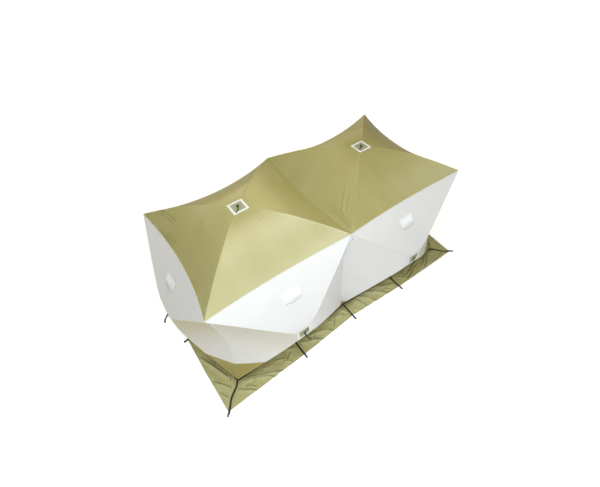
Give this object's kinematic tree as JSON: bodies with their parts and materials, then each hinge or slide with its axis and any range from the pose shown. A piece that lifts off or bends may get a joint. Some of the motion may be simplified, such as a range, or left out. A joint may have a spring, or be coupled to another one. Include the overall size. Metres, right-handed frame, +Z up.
{
  "type": "winter cube tent",
  "caption": "Pop-up cube tent for winter: fabric faces pushed out by rods and hubs, with a ground skirt, peg straps and a zipped door.",
  "frame": {"origin": "on the ground under the middle of the tent", "axes": "+Z up, +X along the two cubes towards the end with the door, front wall facing -Y"},
  "size_m": [4.3036, 2.4436, 1.9318],
  "materials": {
    "roof_fabric": "woven coated polyester, matt olive",
    "wall_fabric": "woven coated polyester, matt off-white",
    "skirt_fabric": "woven coated polyester, matt dark olive",
    "patch_fabric": "reinforced woven patch, matt, white border and olive middle",
    "webbing": "woven black polypropylene webbing",
    "rod_glass_fibre": "pultruded glass fibre, satin black",
    "hub_plastic": "moulded nylon, matt black"
  },
  "bodies": {
    "tent_body": {"panel_roof_left": "roof_fabric", "panel_front_left": "wall_fabric", "panel_back_left": "wall_fabric", "panel_roof_right": "roof_fabric", "panel_front_right": "wall_fabric", "panel_back_right": "wall_fabric", "panel_left_end": "wall_fabric", "panel_right_end": "wall_fabric", "door_flap": "wall_fabric", "ground_skirt": "skirt_fabric", "base_webbing": "webbing"},
    "hub_roof_left": {"hub_roof_left": "hub_plastic", "patch_roof_left": "patch_fabric"},
    "rod_roof_left_1": {"rod_roof_left_1": "rod_glass_fibre"},
    "rod_roof_left_2": {"rod_roof_left_2": "rod_glass_fibre"},
    "rod_roof_left_3": {"rod_roof_left_3": "rod_glass_fibre"},
    "rod_roof_left_4": {"rod_roof_left_4": "rod_glass_fibre"},
    "hub_front_left": {"hub_front_left": "hub_plastic", "patch_front_left": "patch_fabric"},
    "rod_front_left_1": {"rod_front_left_1": "rod_glass_fibre"},
    "rod_front_left_2": {"rod_front_left_2": "rod_glass_fibre"},
    "rod_front_left_3": {"rod_front_left_3": "rod_glass_fibre"},
    "rod_front_left_4": {"rod_front_left_4": "rod_glass_fibre"},
    "hub_back_left": {"hub_back_left": "hub_plastic", "patch_back_left": "patch_fabric"},
    "rod_back_left_1": {"rod_back_left_1": "rod_glass_fibre"},
    "rod_back_left_2": {"rod_back_left_2": "rod_glass_fibre"},
    "rod_back_left_3": {"rod_back_left_3": "rod_glass_fibre"},
    "rod_back_left_4": {"rod_back_left_4": "rod_glass_fibre"},
    "hub_roof_right": {"hub_roof_right": "hub_plastic", "patch_roof_right": "patch_fabric"},
    "rod_roof_right_1": {"rod_roof_right_1": "rod_glass_fibre"},
    "rod_roof_right_2": {"rod_roof_right_2": "rod_glass_fibre"},
    "rod_roof_right_3": {"rod_roof_right_3": "rod_glass_fibre"},
    "rod_roof_right_4": {"rod_roof_right_4": "rod_glass_fibre"},
    "hub_front_right": {"hub_front_right": "hub_plastic", "patch_front_right": "patch_fabric"},
    "rod_front_right_1": {"rod_front_right_1": "rod_glass_fibre"},
    "rod_front_right_2": {"rod_front_right_2": "rod_glass_fibre"},
    "rod_front_right_3": {"rod_front_right_3": "rod_glass_fibre"},
    "rod_front_right_4": {"rod_front_right_4": "rod_glass_fibre"},
    "hub_back_right": {"hub_back_right": "hub_plastic", "patch_back_right": "patch_fabric"},
    "rod_back_right_1": {"rod_back_right_1": "rod_glass_fibre"},
    "rod_back_right_2": {"rod_back_right_2": "rod_glass_fibre"},
    "rod_back_right_3": {"rod_back_right_3": "rod_glass_fibre"},
    "rod_back_right_4": {"rod_back_right_4": "rod_glass_fibre"},
    "hub_left_end": {"hub_left_end": "hub_plastic", "patch_left_end": "patch_fabric"},
    "rod_left_end_1": {"rod_left_end_1": "rod_glass_fibre"},
    "rod_left_end_2": {"rod_left_end_2": "rod_glass_fibre"},
    "rod_left_end_3": {"rod_left_end_3": "rod_glass_fibre"},
    "rod_left_end_4": {"rod_left_end_4": "rod_glass_fibre"},
    "hub_right_end": {"hub_right_end": "hub_plastic", "patch_right_end": "patch_fabric"},
    "rod_right_end_1": {"rod_right_end_1": "rod_glass_fibre"},
    "rod_right_end_2": {"rod_right_end_2": "rod_glass_fibre"},
    "rod_right_end_3": {"rod_right_end_3": "rod_glass_fibre"},
    "rod_right_end_4": {"rod_right_end_4": "rod_glass_fibre"}
  },
  "joints": [
    {"name": "pop_roof_left", "type": "slide", "parent": "tent_body", "child": "hub_roof_left", "axis": [0, 0, 1], "range_m": [-0.51681, 0], "deforming": ["panel_roof_left", "patch_roof_left"]},
    {"name": "swing_roof_left_1", "type": "hinge", "parent": "tent_body", "child": "rod_roof_left_1", "pos_m": [-1.77513, -0.87513, 1.63595], "axis": [0.7071, -0.7071, 0], "range_deg": [-24.28, 0]},
    {"name": "swing_roof_left_2", "type": "hinge", "parent": "tent_body", "child": "rod_roof_left_2", "pos_m": [-0.0245, -0.87492, 1.63624], "axis": [0.7069, 0.7073, 0], "range_deg": [-24.28, 0]},
    {"name": "swing_roof_left_3", "type": "hinge", "parent": "tent_body", "child": "rod_roof_left_3", "pos_m": [-0.0245, 0.87492, 1.63624], "axis": [-0.7069, 0.7073, 0], "range_deg": [-24.28, 0]},
    {"name": "swing_roof_left_4", "type": "hinge", "parent": "tent_body", "child": "rod_roof_left_4", "pos_m": [-1.77513, 0.87513, 1.63595], "axis": [-0.7071, -0.7071, 0], "range_deg": [-24.28, 0]},
    {"name": "pop_front_left", "type": "slide", "parent": "tent_body", "child": "hub_front_left", "axis": [0, -1, 0], "range_m": [-0.59063, 0], "deforming": ["panel_front_left", "patch_front_left"]},
    {"name": "swing_front_left_1", "type": "hinge", "parent": "tent_body", "child": "rod_front_left_1", "pos_m": [-1.77296, -0.90406, 0.02799], "axis": [0.6565, 0, -0.7544], "range_deg": [-29.8, 0]},
    {"name": "swing_front_left_2", "type": "hinge", "parent": "tent_body", "child": "rod_front_left_2", "pos_m": [-0.02662, -0.84604, 0.02799], "axis": [0.6563, 0, 0.7545], "range_deg": [-29.82, 0]},
    {"name": "swing_front_left_3", "type": "hinge", "parent": "tent_body", "child": "rod_front_left_3", "pos_m": [-0.02563, -0.90341, 1.60555], "axis": [-0.6831, 0, 0.7303], "range_deg": [-28.78, 0]},
    {"name": "swing_front_left_4", "type": "hinge", "parent": "tent_body", "child": "rod_front_left_4", "pos_m": [-1.77415, -0.90324, 1.60571], "axis": [-0.6833, 0, -0.7301], "range_deg": [-28.78, 0]},
    {"name": "pop_back_left", "type": "slide", "parent": "tent_body", "child": "hub_back_left", "axis": [0, 1, 0], "range_m": [-0.59063, 0], "deforming": ["panel_back_left", "patch_back_left"]},
    {"name": "swing_back_left_1", "type": "hinge", "parent": "tent_body", "child": "rod_back_left_1", "pos_m": [-0.02662, 0.84604, 0.02799], "axis": [-0.6563, 0, -0.7545], "range_deg": [-29.82, 0]},
    {"name": "swing_back_left_2", "type": "hinge", "parent": "tent_body", "child": "rod_back_left_2", "pos_m": [-1.77296, 0.90406, 0.02799], "axis": [-0.6565, 0, 0.7544], "range_deg": [-29.8, 0]},
    {"name": "swing_back_left_3", "type": "hinge", "parent": "tent_body", "child": "rod_back_left_3", "pos_m": [-1.77415, 0.90324, 1.60571], "axis": [0.6833, 0, 0.7301], "range_deg": [-28.78, 0]},
    {"name": "swing_back_left_4", "type": "hinge", "parent": "tent_body", "child": "rod_back_left_4", "pos_m": [-0.02563, 0.90341, 1.60555], "axis": [0.6831, 0, -0.7303], "range_deg": [-28.78, 0]},
    {"name": "pop_roof_right", "type": "slide", "parent": "tent_body", "child": "hub_roof_right", "axis": [0, 0, 1], "range_m": [-0.51681, 0], "deforming": ["panel_roof_right", "patch_roof_right"]},
    {"name": "swing_roof_right_1", "type": "hinge", "parent": "tent_body", "child": "rod_roof_right_1", "pos_m": [0.0245, -0.87492, 1.63624], "axis": [0.7069, -0.7073, 0], "range_deg": [-24.28, 0]},
    {"name": "swing_roof_right_2", "type": "hinge", "parent": "tent_body", "child": "rod_roof_right_2", "pos_m": [1.77513, -0.87513, 1.63595], "axis": [0.7071, 0.7071, 0], "range_deg": [-24.28, 0]},
    {"name": "swing_roof_right_3", "type": "hinge", "parent": "tent_body", "child": "rod_roof_right_3", "pos_m": [1.77513, 0.87513, 1.63595], "axis": [-0.7071, 0.7071, 0], "range_deg": [-24.28, 0]},
    {"name": "swing_roof_right_4", "type": "hinge", "parent": "tent_body", "child": "rod_roof_right_4", "pos_m": [0.0245, 0.87492, 1.63624], "axis": [-0.7069, -0.7073, 0], "range_deg": [-24.28, 0]},
    {"name": "pop_front_right", "type": "slide", "parent": "tent_body", "child": "hub_front_right", "axis": [0, -1, 0], "range_m": [-0.59063, 0], "deforming": ["panel_front_right", "patch_front_right"]},
    {"name": "swing_front_right_1", "type": "hinge", "parent": "tent_body", "child": "rod_front_right_1", "pos_m": [0.02662, -0.84604, 0.02799], "axis": [0.6563, 0, -0.7545], "range_deg": [-29.82, 0]},
    {"name": "swing_front_right_2", "type": "hinge", "parent": "tent_body", "child": "rod_front_right_2", "pos_m": [1.77296, -0.90406, 0.02799], "axis": [0.6565, 0, 0.7544], "range_deg": [-29.8, 0]},
    {"name": "swing_front_right_3", "type": "hinge", "parent": "tent_body", "child": "rod_front_right_3", "pos_m": [1.77415, -0.90324, 1.60571], "axis": [-0.6833, 0, 0.7301], "range_deg": [-28.78, 0]},
    {"name": "swing_front_right_4", "type": "hinge", "parent": "tent_body", "child": "rod_front_right_4", "pos_m": [0.02563, -0.90341, 1.60555], "axis": [-0.6831, 0, -0.7303], "range_deg": [-28.78, 0]},
    {"name": "pop_back_right", "type": "slide", "parent": "tent_body", "child": "hub_back_right", "axis": [0, 1, 0], "range_m": [-0.59063, 0], "deforming": ["panel_back_right", "patch_back_right"]},
    {"name": "swing_back_right_1", "type": "hinge", "parent": "tent_body", "child": "rod_back_right_1", "pos_m": [1.77296, 0.90406, 0.02799], "axis": [-0.6565, 0, -0.7544], "range_deg": [-29.8, 0]},
    {"name": "swing_back_right_2", "type": "hinge", "parent": "tent_body", "child": "rod_back_right_2", "pos_m": [0.02662, 0.84604, 0.02799], "axis": [-0.6563, 0, 0.7545], "range_deg": [-29.82, 0]},
    {"name": "swing_back_right_3", "type": "hinge", "parent": "tent_body", "child": "rod_back_right_3", "pos_m": [0.02563, 0.90341, 1.60555], "axis": [0.6831, 0, 0.7303], "range_deg": [-28.78, 0]},
    {"name": "swing_back_right_4", "type": "hinge", "parent": "tent_body", "child": "rod_back_right_4", "pos_m": [1.77415, 0.90324, 1.60571], "axis": [0.6833, 0, -0.7301], "range_deg": [-28.78, 0]},
    {"name": "pop_left_end", "type": "slide", "parent": "tent_body", "child": "hub_left_end", "axis": [-1, 0, 0], "range_m": [-0.61904, 0], "deforming": ["panel_left_end", "patch_left_end"]},
    {"name": "swing_left_end_1", "type": "hinge", "parent": "tent_body", "child": "rod_left_end_1", "pos_m": [-1.80547, 0.87302, 0.02779], "axis": [0, -0.6566, -0.7543], "range_deg": [-31.26, 0]},
    {"name": "swing_left_end_2", "type": "hinge", "parent": "tent_body", "child": "rod_left_end_2", "pos_m": [-1.80547, -0.87302, 0.02779], "axis": [0, -0.6566, 0.7543], "range_deg": [-31.26, 0]},
    {"name": "swing_left_end_3", "type": "hinge", "parent": "tent_body", "child": "rod_left_end_3", "pos_m": [-1.8045, -0.87424, 1.60577], "axis": [0, 0.6833, 0.7302], "range_deg": [-30.19, 0]},
    {"name": "swing_left_end_4", "type": "hinge", "parent": "tent_body", "child": "rod_left_end_4", "pos_m": [-1.8045, 0.87424, 1.60577], "axis": [0, 0.6833, -0.7302], "range_deg": [-30.19, 0]},
    {"name": "pop_right_end", "type": "slide", "parent": "tent_body", "child": "hub_right_end", "axis": [1, 0, 0], "range_m": [-0.61904, 0], "deforming": ["panel_right_end", "patch_right_end", "door_flap"]},
    {"name": "swing_right_end_1", "type": "hinge", "parent": "tent_body", "child": "rod_right_end_1", "pos_m": [1.80547, -0.87302, 0.02779], "axis": [0, 0.6566, -0.7543], "range_deg": [-31.26, 0]},
    {"name": "swing_right_end_2", "type": "hinge", "parent": "tent_body", "child": "rod_right_end_2", "pos_m": [1.80547, 0.87302, 0.02779], "axis": [0, 0.6566, 0.7543], "range_deg": [-31.26, 0]},
    {"name": "swing_right_end_3", "type": "hinge", "parent": "tent_body", "child": "rod_right_end_3", "pos_m": [1.8045, 0.87424, 1.60577], "axis": [0, -0.6833, 0.7302], "range_deg": [-30.19, 0]},
    {"name": "swing_right_end_4", "type": "hinge", "parent": "tent_body", "child": "rod_right_end_4", "pos_m": [1.8045, -0.87424, 1.60577], "axis": [0, -0.6833, -0.7302], "range_deg": [-30.19, 0]}
  ],
  "couplings": [
    {"joint": "swing_roof_left_1", "follows": "pop_roof_left", "rad_per_m": 0.81936},
    {"joint": "swing_roof_left_2", "follows": "pop_roof_left", "rad_per_m": 0.81928},
    {"joint": "swing_roof_left_3", "follows": "pop_roof_left", "rad_per_m": 0.81928},
    {"joint": "swing_roof_left_4", "follows": "pop_roof_left", "rad_per_m": 0.81936},
    {"joint": "swing_front_left_1", "follows": "pop_front_left", "rad_per_m": 0.88011},
    {"joint": "swing_front_left_2", "follows": "pop_front_left", "rad_per_m": 0.88046},
    {"joint": "swing_front_left_3", "follows": "pop_front_left", "rad_per_m": 0.8498},
    {"joint": "swing_front_left_4", "follows": "pop_front_left", "rad_per_m": 0.84984},
    {"joint": "swing_back_left_1", "follows": "pop_back_left", "rad_per_m": 0.88046},
    {"joint": "swing_back_left_2", "follows": "pop_back_left", "rad_per_m": 0.88011},
    {"joint": "swing_back_left_3", "follows": "pop_back_left", "rad_per_m": 0.84984},
    {"joint": "swing_back_left_4", "follows": "pop_back_left", "rad_per_m": 0.8498},
    {"joint": "swing_roof_right_1", "follows": "pop_roof_right", "rad_per_m": 0.81928},
    {"joint": "swing_roof_right_2", "follows": "pop_roof_right", "rad_per_m": 0.81936},
    {"joint": "swing_roof_right_3", "follows": "pop_roof_right", "rad_per_m": 0.81936},
    {"joint": "swing_roof_right_4", "follows": "pop_roof_right", "rad_per_m": 0.81928},
    {"joint": "swing_front_right_1", "follows": "pop_front_right", "rad_per_m": 0.88046},
    {"joint": "swing_front_right_2", "follows": "pop_front_right", "rad_per_m": 0.88011},
    {"joint": "swing_front_right_3", "follows": "pop_front_right", "rad_per_m": 0.84984},
    {"joint": "swing_front_right_4", "follows": "pop_front_right", "rad_per_m": 0.8498},
    {"joint": "swing_back_right_1", "follows": "pop_back_right", "rad_per_m": 0.88011},
    {"joint": "swing_back_right_2", "follows": "pop_back_right", "rad_per_m": 0.88046},
    {"joint": "swing_back_right_3", "follows": "pop_back_right", "rad_per_m": 0.8498},
    {"joint": "swing_back_right_4", "follows": "pop_back_right", "rad_per_m": 0.84984},
    {"joint": "swing_left_end_1", "follows": "pop_left_end", "rad_per_m": 0.88089},
    {"joint": "swing_left_end_2", "follows": "pop_left_end", "rad_per_m": 0.88089},
    {"joint": "swing_left_end_3", "follows": "pop_left_end", "rad_per_m": 0.8506},
    {"joint": "swing_left_end_4", "follows": "pop_left_end", "rad_per_m": 0.8506},
    {"joint": "swing_right_end_1", "follows": "pop_right_end", "rad_per_m": 0.88089},
    {"joint": "swing_right_end_2", "follows": "pop_right_end", "rad_per_m": 0.88089},
    {"joint": "swing_right_end_3", "follows": "pop_right_end", "rad_per_m": 0.8506},
    {"joint": "swing_right_end_4", "follows": "pop_right_end", "rad_per_m": 0.8506}
  ]
}
